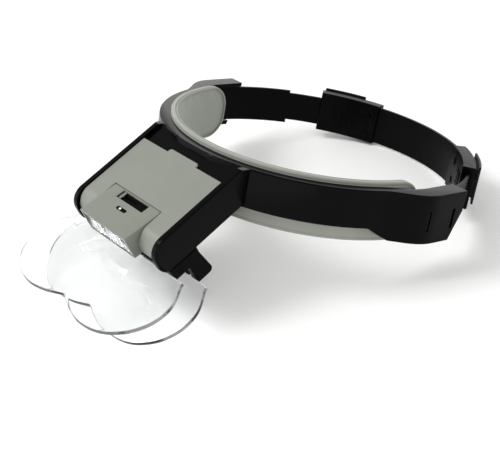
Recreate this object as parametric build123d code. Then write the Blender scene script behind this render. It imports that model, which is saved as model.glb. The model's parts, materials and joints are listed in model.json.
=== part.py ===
from build123d import *
import os
from math import atan2, cos, degrees, radians, sin

# Head visor magnifier, in millimetres.
# Two frames are used while modelling:
#   ring frame   +Z is the axis of the headband, z = 0 is the band's top edge, -Y is the wearer's front,
#                +X the wearer's left. A bearing is an angle from the front (-Y) towards +X.
#   visor frame  the visor box's own frame. Distances run forward from the box's rear edge (s) and down
#                from the cover's top face (d). The frame is turned about X by VISOR_DROP.
# Everything is then laid down as the visor stands on a table: tilted until the rear strap and the
# rear lens plate touch it, with the origin at the bottom centre of the whole object's box.

# ------------------------------------------------------------------ headband
BAND_INNER_R = 89.0
BAND_OUTER_R = BAND_INNER_R + 6.5
BAND_WALL = 2.5
BAND_FRONT_HEIGHT = 22.5
ARM_HEIGHT = 29.0
ARM_FLARE_BEARING = 70.0
ARM_INNER_X = BAND_INNER_R + 6.0
ARM_OUTER_X = ARM_INNER_X + 11.5
ARM_END_Y = 21.5
ARM_END_RAKE = 8.5
ARM_STEP_Y = -25.0
ARM_STEP_RUN = 11.0
BAND_EDGE_ROUND = 0.9
BAND_END_RUN = 5.0
CUT_OVERRUN = 9.0
ARM_WINDOW_Y = (-7.0, 12.8)
ARM_WINDOW_WIDTH = 2.3
ARM_BOSS_GAP = 0.15
VISOR_Y = -(BAND_OUTER_R - 3.9)
FRONT_FLAT_Y = -(BAND_OUTER_R - 1.0)
SEAT_GAP = 0.05
MERGE = 0.5

# ------------------------------------------------------------------ forehead pad
PAD_THICKNESS = 3.9
PAD_GAP = 0.1
PAD_ABOVE_BAND = 3.0
PAD_BELOW_BAND = ARM_HEIGHT + 4.5
PAD_END_BEARING = 91.0
PAD_END_ROUND = 15.0
STUD_R = 2.0
STUD_Z = -12.0
STUD_IN_PAD = 2.0
STUD_BEARINGS = (38.0, 54.0, 68.0)

# ------------------------------------------------------------------ visor box
VISOR_DROP = 36.0
CHEEK_OUTER_X = 40.5
CHEEK_INNER_X = CHEEK_OUTER_X - 4.0
CHEEK_RISE = 0.6
CHEEK_TOP_ROUND = 10.0
CHEEK_BOTTOM_ROUND = 6.0
CHEEK_EDGE_ROUND = 1.4
DECK_END = 12.5
DECK_DEPTH = 1.5
FLOOR_THICKNESS = 1.5
SCREW_R = 1.1
SCREW_HEAD_R = 2.2
SCREW_HEAD_HEIGHT = 1.4
SCREW_RECESS = 0.2
SCREW_LENGTH = 8.0
SCREW_X = (-26.0, -10.0, 10.0, 26.0)
SCREW_Z = -9.0

# ------------------------------------------------------------------ battery bay
CELL_R = 5.25
CELL_LENGTH = 43.3
CELL_TIP_R = 1.9
CELL_TIP = 1.2
CELL_GAP = 0.6
BAY_START = DECK_END + 1.5
BAY_END = BAY_START + 4 * CELL_R + 2 * CELL_GAP + 3.8
BAY_HALF_WIDTH = CELL_LENGTH / 2 + 4.95
BAY_PARTITION = 1.8
BAY_OUTER_X = CHEEK_INNER_X - 2.0
FLOOR_TOP = 2 * CELL_R + 3.9
CHEEK_DEPTH = FLOOR_TOP + 5.6
CONTACT_THICKNESS = 0.4
SPRING_WIRE_R = 0.35
SPRING_COIL_R = 2.6
SPRING_TURNS = 3

# ------------------------------------------------------------------ cover
COVER_THICKNESS = 2.0
COVER_SIDE_GAP = 0.5
COVER_BACK_GAP = 0.4
COVER_REST_GAP = 0.4
COVER_ROUND = 10.0
COVER_LEG_END = FLOOR_TOP - 1.9
TAB_HALF_WIDTH = 13.0
TAB_LENGTH = 2.7
TAB_THICKNESS = 1.1
TAB_ROUND = 2.0
HOOK_FROM_WALL = 4.0
HOOK_WIDTH = 5.0
HOOK_GAP = 0.4
HOOK_THICKNESS = 0.9
HOOK_DEPTH = 1.0

# ------------------------------------------------------------------ lamp
LAMP_HINGE_S = BAY_END + 8.0
LAMP_HINGE_D = 4.0
LAMP_TILT = 6.1
LAMP_HALF_WIDTH = 21.7
LAMP_LENGTH = 24.6
CHEEK_FRONT = LAMP_HINGE_S + LAMP_LENGTH - 3.6
COVER_FRONT = CHEEK_FRONT - 2.0
LIP_BACK = CHEEK_FRONT - 5.8
LIP_FRONT = CHEEK_FRONT - 1.2
LIP_TOP = FLOOR_TOP - 1.5
LAMP_FACE_DEPTH = 15.2
LAMP_FACE_RAKE = 1.7
LAMP_NOSE = 9.4
LAMP_WALL = 1.5
LAMP_SIDE_GAP = 0.4
LAMP_PIN_R = 0.9
LAMP_LUG_GAP = 1.0
LAMP_LUG_WIDTH = 2.5
HINGE_CLEARANCE = 0.05
LED_X = 9.6
LED_R = 2.4
CUP_MOUTH_R = 5.4
CUP_BASE_R = 3.0
CUP_DEPTH = 5.0

# ------------------------------------------------------------------ switch
WINDOW_HALF_WIDTH = 12.3
WINDOW_LENGTH = 5.8
SWITCH_OFF_X = -9.5
SWITCH_TRAVEL = 12.0
SWITCH_RIB_WIDTH = 1.6
SWITCH_GAP = 0.4
SWITCH_STEM_HALF = 0.5
SWITCH_PROUD = 0.0
SWITCH_SLOT_FLOOR = 2.2
WINDOW_FLOOR = 1.4
BEZEL_GAP = 0.1
BEZEL_TOP = LAMP_HINGE_D - 1.0
INDICATOR_SIZE = (8.6, 2.4)
INDICATOR_Y = -10.6
INDICATOR_DEPTH = 0.5
DOT_X = -1.2
DOT_R = 0.75
DOT_HEIGHT = 0.15

# ------------------------------------------------------------------ lens carrier
CARRIER_HINGE_S = LAMP_HINGE_S - 1.0
CARRIER_HALF_WIDTH = CHEEK_OUTER_X - 0.5
CARRIER_FRONT = CARRIER_HINGE_S + 17.5
CARRIER_STEP = CARRIER_HINGE_S + 6.5
CARRIER_BACK = CARRIER_HINGE_S - 6.0
CARRIER_TOP = FLOOR_TOP + FLOOR_THICKNESS + 4.5
CARRIER_HINGE_D = CARRIER_TOP + 9.6
CARRIER_STEP_D = CARRIER_TOP + 8.1
CARRIER_BOTTOM = CARRIER_TOP + 21.2
CARRIER_CORNER = 3.0
LUG_X = (CHEEK_INNER_X - 5.5, CHEEK_INNER_X - 1.5)
LUG_R = 4.4
LUG_GAP = 0.4
CARRIER_PIN_R = 1.5
CARRIER_PIN_X = (LUG_X[0] - 1.8, CARRIER_HALF_WIDTH - 0.6)

# ------------------------------------------------------------------ lens plates
LENS_FRONT_RISE = 7.7
LENS_REAR_RISE = -1.0
LENS_FRONT_SD = (CARRIER_FRONT + 0.8, CARRIER_TOP + 4.0)
LENS_REAR_SD = (CARRIER_STEP + 0.7, CARRIER_BOTTOM - 2.7)
LENS_THICKNESS = 2.5
LENS_SLOT_GAP = 0.35
LENS_TONGUE_HALF_WIDTH = 28.0
LENS_TONGUE = 10.0
LENS_SHOULDER = 0.6
LENS_SHOULDER_X = 50.0
LENS_HALF_WIDTH = 60.0
LENS_HEIGHT = 53.0
LENS_LOBE_X = 27.0
LENS_CUSP = 46.0
OPTIC_R = 24.0
OPTIC_X = 30.0
OPTIC_Y = 26.0
OPTIC_CROWN = 1.6

# ------------------------------------------------------------------ rear tails, strap and buckles
TAIL_R = ARM_INNER_X + 2.55
TAIL_THICKNESS = 1.8
TAIL_OUTER_R = TAIL_R + TAIL_THICKNESS / 2
TAIL_START_BEARING = 84.0
TAIL_SHOULDER_BEARING = 124.0
TAIL_END_BEARING = 150.5
TAIL_WIDE_Z = (3.2 - ARM_HEIGHT, -2.8)
TAIL_NARROW_Z = (TAIL_WIDE_Z[0] + 2.4, TAIL_WIDE_Z[1] - 1.8)
ARM_WINDOW_Z = (TAIL_WIDE_Z[0] + 4.3, TAIL_WIDE_Z[1] - 6.7)
TOOTH_PITCH = 2.2
TOOTH_SIZE = 0.9
TOOTH_LENGTH = 14.0
STRAP_THICKNESS = 1.8
STRAP_R = TAIL_R - (TAIL_THICKNESS + STRAP_THICKNESS) / 2 - 0.55
STRAP_Z = (TAIL_NARROW_Z[0] - 1.8, TAIL_NARROW_Z[1] + 4.0)
STRAP_IN_BUCKLE = 8.7
BUCKLE_Z = (STRAP_Z[0] - 1.0, STRAP_Z[1] + 1.0)
BUCKLE_R = (STRAP_R - STRAP_THICKNESS / 2 - 1.5, TAIL_OUTER_R + 2.75)
BUCKLE_SPAN = 25.4
BUCKLE_CORNER = 1.0
BUCKLE_RIM = 0.7
BUCKLE_LEFT_BEARING = 125.0
BUCKLE_RIGHT_BEARING = 222.8
PASSAGE_GAP = 0.35
RIVET_R = 1.2
RIVET_HEAD_R = 2.2
RIVET_HEAD_HEIGHT = 0.6
RIVET_Z = (STRAP_Z[1] - 7.4, STRAP_Z[0] + 5.0)
LEVER_FROM_MOUTH = 9.0
LEVER_HALF_SPAN = 6.6
LEVER_WINDOW_HALF_SPAN = 7.0
LEVER_Z = (TAIL_NARROW_Z[0] + 4.3, TAIL_NARROW_Z[1] - 4.3)
LEVER_PAWL_R = TAIL_OUTER_R + 0.85
LEVER_PRESS_R = TAIL_OUTER_R + 2.35
LEVER_WINDOW_GAP = 0.4
LEVER_HUB_R = 1.3
LEVER_PIN_R = 0.8
LEVER_PIN_REACH = 3.4
LEVER_PIVOT_R = TAIL_OUTER_R + 1.75
LEVER_CAP_R = (BUCKLE_R[1] + 1.5, BUCKLE_R[1] + 2.8)
LEVER_CAP_Z = (BUCKLE_Z[0] + 3.7, BUCKLE_Z[1] + 1.2)
LEVER_CAP_HALF_SPAN = 8.0
LEVER_CAP_CHAMFER = 0.5
THUMB_GROOVES = (3.0, 4.2, 5.4)
THUMB_GROOVE_WIDTH = 0.5
THUMB_GROOVE_DEPTH = 0.4
FINGER_RIDGES = (-3.0, 0.0, 3.0)


# ------------------------------------------------------------------ helpers
def polar(radius, bearing):
    return (radius * sin(radians(bearing)), -radius * cos(radians(bearing)))


def sector(radii, bearings, heights):
    """A piece of a ring between two radii, two bearings and two heights."""
    (inner, outer), (start, end), (low, high) = radii, bearings, heights
    middle = (start + end) / 2
    outer_arc = ThreePointArc(polar(outer, start), polar(outer, middle), polar(outer, end))
    inner_arc = ThreePointArc(polar(inner, end), polar(inner, middle), polar(inner, start))
    sides = [Line(outer_arc @ 1, inner_arc @ 0), Line(inner_arc @ 1, outer_arc @ 0)]
    face = make_face([outer_arc, sides[0], inner_arc, sides[1]])
    return extrude(Pos(0, 0, low) * face, high - low, dir=(0, 0, 1))


def block(x, y, z):
    """A box from its lowest and highest values along each axis."""
    size = (x[1] - x[0], y[1] - y[0], z[1] - z[0])
    return Pos(sum(x) / 2, sum(y) / 2, sum(z) / 2) * Box(*size)


def visor_block(x, s, d):
    """A box in the visor frame, from ranges of s (forward) and d (down)."""
    return block(x, (-s[1], -s[0]), (-d[1], -d[0]))


def side_prism(outline, x):
    """An outline in (y, z) pushed along X between two values of x."""
    face = make_face(Plane.YZ.offset(x[0]) * Polyline(*outline, close=True))
    return extrude(face, x[1] - x[0], dir=(1, 0, 0))


def visor_prism(outline, x):
    return side_prism([(-s, -d) for s, d in outline], x)


def rod_x(radius, x, y, z):
    """A round rod along X."""
    return Pos(sum(x) / 2, y, z) * Rot(0, 90, 0) * Cylinder(radius, x[1] - x[0])


def rod_out(radius, radii, bearing, z):
    """A round rod along the radius of the ring at one bearing."""
    middle = polar(sum(radii) / 2, bearing)
    turn = Rot(0, 0, bearing) * Rot(90, 0, 0)
    return Pos(middle[0], middle[1], z) * turn * Cylinder(radius, radii[1] - radii[0])


def both_sides(shape):
    return shape + mirror(shape, Plane.YZ)


def tail_radii(gap=0.0):
    half = TAIL_THICKNESS / 2 + gap
    return (TAIL_R - half, TAIL_R + half)


def strap_radii(gap=0.0):
    half = STRAP_THICKNESS / 2 + gap
    return (STRAP_R - half, STRAP_R + half)


def widen(span, gap):
    return (span[0] - gap, span[1] + gap)


VISOR = Pos(0, VISOR_Y, 0) * Rot(VISOR_DROP, 0, 0)
LAMP = VISOR * Pos(0, -LAMP_HINGE_S, -LAMP_HINGE_D) * Rot(-LAMP_TILT, 0, 0)
FRONT_SEAT = Pos(0, -LENS_FRONT_SD[0], -LENS_FRONT_SD[1]) * Rot(-LENS_FRONT_RISE, 0, 0)
REAR_SEAT = Pos(0, -LENS_REAR_SD[0], -LENS_REAR_SD[1]) * Rot(-LENS_REAR_RISE, 0, 0)
LENS_FRONT = VISOR * FRONT_SEAT
LENS_REAR = VISOR * REAR_SEAT


# ------------------------------------------------------------------ headband pieces
def band_outline(wall):
    """The band seen from above: its outer face moved in by wall, closed across the head."""
    radius = BAND_OUTER_R - wall
    right = ARM_OUTER_X - wall
    flare = polar(radius, ARM_FLARE_BEARING)
    heading = (cos(radians(ARM_FLARE_BEARING)), sin(radians(ARM_FLARE_BEARING)))
    front = ThreePointArc((-flare[0], flare[1]), (0, -radius), flare)
    side = Spline(flare, (right, 0), tangents=[heading, (0, 1)])
    back = Line((right, 0), (right, ARM_END_Y + BAND_END_RUN))
    across = Line(back @ 1, (-right, ARM_END_Y + BAND_END_RUN))
    left_back = Line(across @ 1, (-right, 0))
    left_side = Spline((-right, 0), (-flare[0], flare[1]), tangents=[(0, -1), (heading[0], -heading[1])])
    return make_face([front, side, back, across, left_back, left_side])


def head_space():
    """The space inside the band that the head and the pad fill."""
    radius = BAND_INNER_R
    flare = polar(radius, ARM_FLARE_BEARING)
    heading = (cos(radians(ARM_FLARE_BEARING)), sin(radians(ARM_FLARE_BEARING)))
    front = ThreePointArc((-flare[0], flare[1]), (0, -radius), flare)
    side = Spline(flare, (ARM_INNER_X, 0), tangents=[heading, (0, 1)])
    back = Line((ARM_INNER_X, 0), (ARM_INNER_X, ARM_END_Y + CUT_OVERRUN))
    across = Line(back @ 1, (-ARM_INNER_X, ARM_END_Y + CUT_OVERRUN))
    left_back = Line(across @ 1, (-ARM_INNER_X, 0))
    left_side = Spline(
        (-ARM_INNER_X, 0), (-flare[0], flare[1]), tangents=[(0, -1), (heading[0], -heading[1])]
    )
    return make_face([front, side, back, across, left_back, left_side])


def band_side(inset):
    """The band seen from the side, with its deeper arms and raked ends, moved in by inset."""
    step_front = ARM_STEP_Y - ARM_STEP_RUN
    front = -BAND_OUTER_R - CUT_OVERRUN
    end = ARM_END_Y + (0 if inset == 0 else CUT_OVERRUN)
    return [
        (front, -inset),
        (end, -inset),
        (end - 0.12 * ARM_END_RAKE, -0.42 * ARM_HEIGHT),
        (end - 0.5 * ARM_END_RAKE, -0.66 * ARM_HEIGHT),
        (end - ARM_END_RAKE, -ARM_HEIGHT + inset),
        (ARM_STEP_Y, -ARM_HEIGHT + inset),
        (step_front, -BAND_FRONT_HEIGHT + inset),
        (front, -BAND_FRONT_HEIGHT + inset),
    ]


def screw_places():
    return [(x, SCREW_Z) for x in SCREW_X]


def screw(x, z, gap=0.0):
    """One housing screw, driven forward from inside the band."""
    inner_edge = abs(x) - SCREW_HEAD_R
    back = -((BAND_INNER_R**2 - inner_edge**2) ** 0.5) - SCREW_RECESS
    head_length = SCREW_HEAD_HEIGHT + (2.0 if gap > 0 else 0.0)
    seat = back - SCREW_HEAD_HEIGHT
    shank_length = SCREW_LENGTH + gap
    head = Pos(x, seat + head_length / 2, z) * Rot(90, 0, 0) * Cylinder(SCREW_HEAD_R + gap, head_length)
    shank = Pos(x, seat - shank_length / 2, z) * Rot(90, 0, 0) * Cylinder(SCREW_R + gap, shank_length)
    return head + shank


def front_band():
    wide = (-ARM_OUTER_X - 5, ARM_OUTER_X + 5)
    body = extrude(Pos(0, 0, -ARM_HEIGHT) * band_outline(0), ARM_HEIGHT, dir=(0, 0, 1))
    body = body & side_prism(band_side(0), wide)
    outer_rims = body.edges().filter_by(lambda edge: edge.center().Y < ARM_END_Y - 3)
    rims = [edge for edge in outer_rims if abs(edge.center().Z) < 0.01]
    body = fillet(rims, BAND_EDGE_ROUND)
    space = extrude(Pos(0, 0, -ARM_HEIGHT - 1) * head_space(), ARM_HEIGHT + 2, dir=(0, 0, 1))
    body -= space
    channel = extrude(Pos(0, 0, -ARM_HEIGHT) * band_outline(BAND_WALL), ARM_HEIGHT, dir=(0, 0, 1))
    channel = channel & side_prism(band_side(BAND_WALL), wide)
    keep_front = block((-CHEEK_OUTER_X - 2, CHEEK_OUTER_X + 2), (-BAND_OUTER_R, 0), (-ARM_HEIGHT, 1))
    body -= channel - keep_front
    body -= block((-CHEEK_OUTER_X, CHEEK_OUTER_X), (-BAND_OUTER_R - 5, FRONT_FLAT_Y), (-ARM_HEIGHT, 1))
    for window in ARM_WINDOW_Y:
        slot = block(
            (ARM_OUTER_X - 2 * BAND_WALL, ARM_OUTER_X + 1),
            (window - ARM_WINDOW_WIDTH / 2, window + ARM_WINDOW_WIDTH / 2),
            ARM_WINDOW_Z,
        )
        body -= both_sides(slot)
    for x, z in screw_places():
        body -= screw(x, z, SEAT_GAP)
    return body


def housing_screws():
    return [screw(x, z) for x, z in screw_places()]


def pad_radii():
    outer = BAND_INNER_R - PAD_GAP
    return (outer - PAD_THICKNESS, outer)


def stud_holes():
    outer = pad_radii()[1]
    return [
        rod_out(STUD_R, (outer - STUD_IN_PAD, outer + 1), side * bearing, STUD_Z)
        for bearing in STUD_BEARINGS
        for side in (-1, 1)
    ]


def forehead_pad():
    pad = sector(pad_radii(), (-PAD_END_BEARING, PAD_END_BEARING), (-PAD_BELOW_BAND, PAD_ABOVE_BAND))
    ends = [edge for edge in pad.edges() if abs(edge.length - PAD_THICKNESS) < 0.01]
    pad = fillet(ends, PAD_END_ROUND)
    for hole in stud_holes():
        pad -= hole
    return pad


def pad_studs():
    """Round studs that hold the pad to the band's web."""
    reach = (pad_radii()[1] - STUD_IN_PAD, BAND_OUTER_R - BAND_WALL - SEAT_GAP)
    return [rod_out(STUD_R, reach, side * bearing, STUD_Z) for bearing in STUD_BEARINGS for side in (-1, 1)]


# ------------------------------------------------------------------ visor housing
def lamp_lug(side):
    start = LAMP_HALF_WIDTH + LAMP_LUG_GAP
    x = (start, start + LAMP_LUG_WIDTH)
    reach = (LAMP_HINGE_S - LAMP_LUG_WIDTH, LAMP_HINGE_S + LAMP_LUG_WIDTH)
    lug = visor_block(x, reach, (COVER_THICKNESS + COVER_REST_GAP, FLOOR_TOP + MERGE))
    lug -= rod_x(LAMP_PIN_R, widen(x, MERGE), -LAMP_HINGE_S, -LAMP_HINGE_D)
    return lug if side > 0 else mirror(lug, Plane.YZ)


def carrier_lug(side):
    reach = (CARRIER_HINGE_S - LUG_R, CARRIER_HINGE_S + LUG_R)
    neck = visor_block(LUG_X, reach, (FLOOR_TOP + MERGE, CARRIER_HINGE_D))
    lug = neck + rod_x(LUG_R, LUG_X, -CARRIER_HINGE_S, -CARRIER_HINGE_D)
    lug -= rod_x(CARRIER_PIN_R + HINGE_CLEARANCE, widen(LUG_X, 1), -CARRIER_HINGE_S, -CARRIER_HINGE_D)
    return lug if side > 0 else mirror(lug, Plane.YZ)


def housing_blank():
    """The outer form of the box: two cheeks and everything between them, before hollowing."""
    x = (-CHEEK_OUTER_X, CHEEK_OUTER_X)
    outline = [
        (-16, -CHEEK_RISE),
        (CHEEK_FRONT, -CHEEK_RISE),
        (CHEEK_FRONT, CHEEK_DEPTH),
        (-16, CHEEK_DEPTH),
    ]
    blank = visor_prism(outline, x)
    fronts = blank.edges().filter_by(Axis.X).sort_by(Axis.Y)[:2]
    top_front = fronts.sort_by(Axis.Z)[-1]
    bottom_front = fronts.sort_by(Axis.Z)[0]
    blank = fillet(top_front, CHEEK_TOP_ROUND)
    bottom_edges = blank.edges().filter_by(Axis.X).filter_by(
        lambda edge: (edge.center() - bottom_front.center()).length < 0.01
    )
    blank = fillet(bottom_edges, CHEEK_BOTTOM_ROUND)
    side_faces = blank.faces().filter_by(Axis.X)
    rims = [edge for face in side_faces for edge in face.edges() if edge.center().Y < 15]
    return fillet(rims, CHEEK_EDGE_ROUND)


def visor_housing():
    inner = (-CHEEK_INNER_X, CHEEK_INNER_X)
    rest = COVER_THICKNESS + COVER_REST_GAP
    floor_bottom = FLOOR_TOP + FLOOR_THICKNESS
    body = housing_blank()
    body -= visor_block(inner, (-20, DECK_END), (-2, DECK_DEPTH))
    body -= visor_block(inner, (DECK_END, 100), (-2, rest))
    body -= visor_block((-BAY_HALF_WIDTH, BAY_HALF_WIDTH), (BAY_START, BAY_END), (rest - 1, FLOOR_TOP))
    side_room = (BAY_HALF_WIDTH + BAY_PARTITION, BAY_OUTER_X)
    wiring = visor_block(side_room, (BAY_START, BAY_END), (rest - 1, FLOOR_TOP))
    body -= both_sides(wiring)
    body -= visor_block(inner, (BAY_END + FLOOR_THICKNESS, LIP_BACK), (rest - 1, FLOOR_TOP))
    body -= visor_block(inner, (BAY_END + FLOOR_THICKNESS, 100), (-2, LIP_TOP))
    body -= visor_block(inner, (LIP_FRONT, 100), (-2, 30))
    body -= visor_block(inner, (-20, 100), (floor_bottom, 30))
    notch = LAMP_HALF_WIDTH + LAMP_SIDE_GAP
    body -= visor_block((-notch, notch), (LAMP_HINGE_S + LAMP_LENGTH - 12.6, 100), (-2, 30))
    for side in (-1, 1):
        body += lamp_lug(side)
        body += carrier_lug(side)
    body = VISOR * body
    above = block((-60, 60), (-150, 0), (0, 60))
    behind_flat = block((-60, 60), (FRONT_FLAT_Y - SEAT_GAP, 0), (-90, 60))
    band_seat = Pos(0, 0, -20) * Cylinder(BAND_OUTER_R + SEAT_GAP, 160)
    body -= behind_flat & band_seat
    body -= above & block((-60, 60), (VISOR_Y - 8, 0), (-1, 60))
    body -= block((-60, 60), (-60, 0), (-90, 60))
    for x, z in screw_places():
        body -= screw(x, z, SEAT_GAP)
    return body


def lamp_pin():
    half = LAMP_HALF_WIDTH + LAMP_LUG_GAP + LAMP_LUG_WIDTH - 0.2
    return VISOR * rod_x(LAMP_PIN_R, (-half, half), -LAMP_HINGE_S, -LAMP_HINGE_D)


# ------------------------------------------------------------------ battery bay
def cell_centre(row):
    return (BAY_START + CELL_GAP + CELL_R + row * (2 * CELL_R + CELL_GAP), FLOOR_TOP - CELL_R - 0.3)


def battery_cell(row):
    """One small round cell, lying across the box, its tip to the left or to the right."""
    s, d = cell_centre(row)
    half = CELL_LENGTH / 2
    cell = rod_x(CELL_R, (-half, half), -s, -d)
    cell = fillet(cell.edges(), 0.5)
    cell += rod_x(CELL_TIP_R, (half - 0.1, half + CELL_TIP), -s, -d)
    return VISOR * (cell if row == 0 else mirror(cell, Plane.YZ))


def contact_spring(row):
    """The coil that presses on the flat end of one cell."""
    s, d = cell_centre(row)
    start = CELL_LENGTH / 2 + SPRING_WIRE_R + 0.05
    end = BAY_HALF_WIDTH - CONTACT_THICKNESS - SPRING_WIRE_R - 0.1
    height = end - start
    path = Helix(pitch=height / SPRING_TURNS, height=height, radius=SPRING_COIL_R)
    section = Plane(origin=path @ 0, z_dir=path % 0) * Circle(SPRING_WIRE_R)
    coil = sweep(section, path=path)
    coil = Pos(start, -s, -d) * Rot(0, 90, 0) * coil
    return VISOR * (mirror(coil, Plane.YZ) if row == 0 else coil)


def contact_plates():
    """Sheet contacts: one along the spring ends and tips on each side wall of the bay."""
    rows = [cell_centre(0), cell_centre(1)]
    s_range = (rows[0][0] - 4, rows[1][0] + 4)
    d_range = (rows[0][1] - 3.6, rows[0][1] + 3.6)
    inner = BAY_HALF_WIDTH - CONTACT_THICKNESS
    plate = visor_block((inner, BAY_HALF_WIDTH), s_range, d_range)
    plate = fillet(plate.edges().filter_by(Axis.X), 1.0)
    return [VISOR * plate, VISOR * mirror(plate, Plane.YZ)]


# ------------------------------------------------------------------ cover
def top_front_corner(solid):
    return solid.edges().filter_by(Axis.X).sort_by(lambda edge: edge.center().Y - edge.center().Z)[0]


def battery_cover():
    half = CHEEK_INNER_X - COVER_SIDE_GAP
    start = DECK_END + COVER_BACK_GAP
    outline = [(start, 0), (COVER_FRONT, 0), (COVER_FRONT, COVER_LEG_END), (start, COVER_LEG_END)]
    solid = visor_prism(outline, (-half, half))
    solid = fillet(top_front_corner(solid), COVER_ROUND)
    front_inside = COVER_FRONT - COVER_THICKNESS
    hollow = visor_prism(
        [
            (start - 5, COVER_THICKNESS),
            (front_inside, COVER_THICKNESS),
            (front_inside, COVER_LEG_END + 5),
            (start - 5, COVER_LEG_END + 5),
        ],
        (-half - 1, half + 1),
    )
    hollow = fillet(top_front_corner(hollow), COVER_ROUND - COVER_THICKNESS)
    cover = solid - hollow
    notch = LAMP_HALF_WIDTH + LAMP_SIDE_GAP
    cover -= visor_block((-notch, notch), (LAMP_HINGE_S, CHEEK_FRONT), (-2, COVER_LEG_END + 5))
    cover -= rod_x(LAMP_HINGE_D + LAMP_SIDE_GAP, (-notch, notch), -LAMP_HINGE_S, -LAMP_HINGE_D)
    tab_x = (-TAB_HALF_WIDTH, TAB_HALF_WIDTH)
    tab = visor_block(tab_x, (start - TAB_LENGTH, start + COVER_THICKNESS), (0, TAB_THICKNESS))
    corners = tab.edges().filter_by(Axis.Z).sort_by(Axis.Y)[-2:]
    cover += fillet(corners, TAB_ROUND)
    hook_x = (BAY_HALF_WIDTH - HOOK_FROM_WALL - HOOK_WIDTH, BAY_HALF_WIDTH - HOOK_FROM_WALL)
    hook_s = (BAY_START + HOOK_GAP, BAY_START + HOOK_GAP + HOOK_THICKNESS)
    hook = visor_block(hook_x, hook_s, (COVER_THICKNESS - MERGE, COVER_THICKNESS + HOOK_DEPTH))
    cover += both_sides(hook)
    return VISOR * cover


# ------------------------------------------------------------------ lamp, in its own frame on its hinge axis
def lamp_side(x):
    top = LAMP_HINGE_D
    face_foot = -LAMP_LENGTH + LAMP_FACE_RAKE
    bottom = top - LAMP_FACE_DEPTH
    outline = [
        (0, top),
        (-LAMP_LENGTH, top),
        (face_foot, bottom),
        (face_foot + LAMP_NOSE, bottom),
        (face_foot + LAMP_NOSE + 1.2, bottom + 8),
        (0, -LAMP_HINGE_D),
    ]
    return side_prism(outline, x) + rod_x(LAMP_HINGE_D, x, 0, 0)


def lamp_inner_x():
    return LAMP_HALF_WIDTH - LAMP_WALL


def lamp_shell():
    top = LAMP_HINGE_D
    shell = lamp_side((-LAMP_HALF_WIDTH, LAMP_HALF_WIDTH))
    side_faces = shell.faces().filter_by(Axis.X)
    rims = [edge for face in side_faces for edge in face.edges() if edge.center().Z > top - 0.1]
    shell = fillet(rims, 0.6)
    inner = lamp_inner_x()
    shell -= block((-inner, inner), (-LAMP_LENGTH - 5, -LAMP_HINGE_D + 0.8), (-20, top - LAMP_WALL))
    shell -= block((-inner, inner), (-LAMP_HINGE_D + 0.7, 0), (-20, -LAMP_HINGE_D + 1.2))
    window_x = (-WINDOW_HALF_WIDTH, WINDOW_HALF_WIDTH)
    shell -= block(window_x, window_y(0.0), (WINDOW_FLOOR, top + 1))
    shell -= indicator_body(0.02)
    shell -= rod_x(LAMP_PIN_R + HINGE_CLEARANCE, (-30, 30), 0, 0)
    return LAMP * shell


def window_y(gap):
    return (0.3 - WINDOW_LENGTH + gap, 0.3 - gap)


def lamp_base():
    """The black bottom cover, stepped down behind the two cups."""
    inner = lamp_inner_x() - 0.1
    top = LAMP_HINGE_D
    bottom = top - LAMP_FACE_DEPTH
    face_foot = -LAMP_LENGTH + LAMP_FACE_RAKE
    heel = face_foot + LAMP_NOSE
    outline = [
        (-3.4, -LAMP_HINGE_D + 0.2),
        (heel + 1.2, bottom + 8),
        (heel, bottom),
        (face_foot, bottom),
        (face_foot, bottom + 1.2),
        (heel - 1.1, bottom + 1.2),
        (heel + 0.1, bottom + 9.2),
        (-3.4, -LAMP_HINGE_D + 1.4),
    ]
    return LAMP * side_prism(outline, (-inner, inner))


def cup_axis_z():
    return LAMP_HINGE_D - LAMP_WALL - 6.2


def cup_mouth_y():
    return -LAMP_LENGTH + LAMP_FACE_RAKE + 0.9


def led_reflector():
    """A plated tray with a conical cup round each diode."""
    half = lamp_inner_x() - 0.3
    bottom = LAMP_HINGE_D - LAMP_FACE_DEPTH + 1.3
    top = LAMP_HINGE_D - LAMP_WALL - 0.1
    mouth = cup_mouth_y()
    tray = block((-half, half), (mouth, mouth + CUP_DEPTH + 1.4), (bottom, top))
    cone = Rot(90, 0, 0) * Cone(CUP_BASE_R, CUP_MOUTH_R, CUP_DEPTH)
    for side in (-1, 1):
        tray -= Pos(side * LED_X, mouth + CUP_DEPTH / 2, cup_axis_z()) * cone
    return LAMP * tray


def led(side):
    """A round diode with a domed nose, standing in its cup."""
    base = cup_mouth_y() + CUP_DEPTH
    stem = Rot(90, 0, 0) * Cylinder(LED_R, 1.2)
    body = Pos(0, base - 0.6, 0) * stem + Pos(0, base - 1.2, 0) * Sphere(LED_R)
    body -= block((-5, 5), (base, base + 5), (-5, 5))
    return LAMP * Pos(side * LED_X, 0, cup_axis_z()) * body


def lamp_window():
    half = lamp_inner_x() - 0.3
    bottom = LAMP_HINGE_D - LAMP_FACE_DEPTH + 1.3
    top = LAMP_HINGE_D - LAMP_WALL - 0.1
    mouth = cup_mouth_y()
    return LAMP * block((-half, half), (mouth - 0.9, mouth - 0.1), (bottom, top))


def circuit_board():
    half = lamp_inner_x() - 2.2
    return LAMP * block((-half, half), (-13.0, -4.2), (-1.4, 0.2))


def slot_range():
    reach = SWITCH_STEM_HALF + SWITCH_GAP
    return (SWITCH_OFF_X - reach, SWITCH_OFF_X + SWITCH_TRAVEL + reach)


def switch_line_y():
    return sum(window_y(0.0)) / 2


def switch_bezel():
    half = WINDOW_HALF_WIDTH - BEZEL_GAP
    bezel = block((-half, half), window_y(BEZEL_GAP), (WINDOW_FLOOR + BEZEL_GAP, BEZEL_TOP))
    reach = SWITCH_STEM_HALF + SWITCH_GAP
    slot_y = (switch_line_y() - reach, switch_line_y() + reach)
    bezel -= block(slot_range(), slot_y, (SWITCH_SLOT_FLOOR, LAMP_HINGE_D + 1))
    return LAMP * bezel


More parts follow.
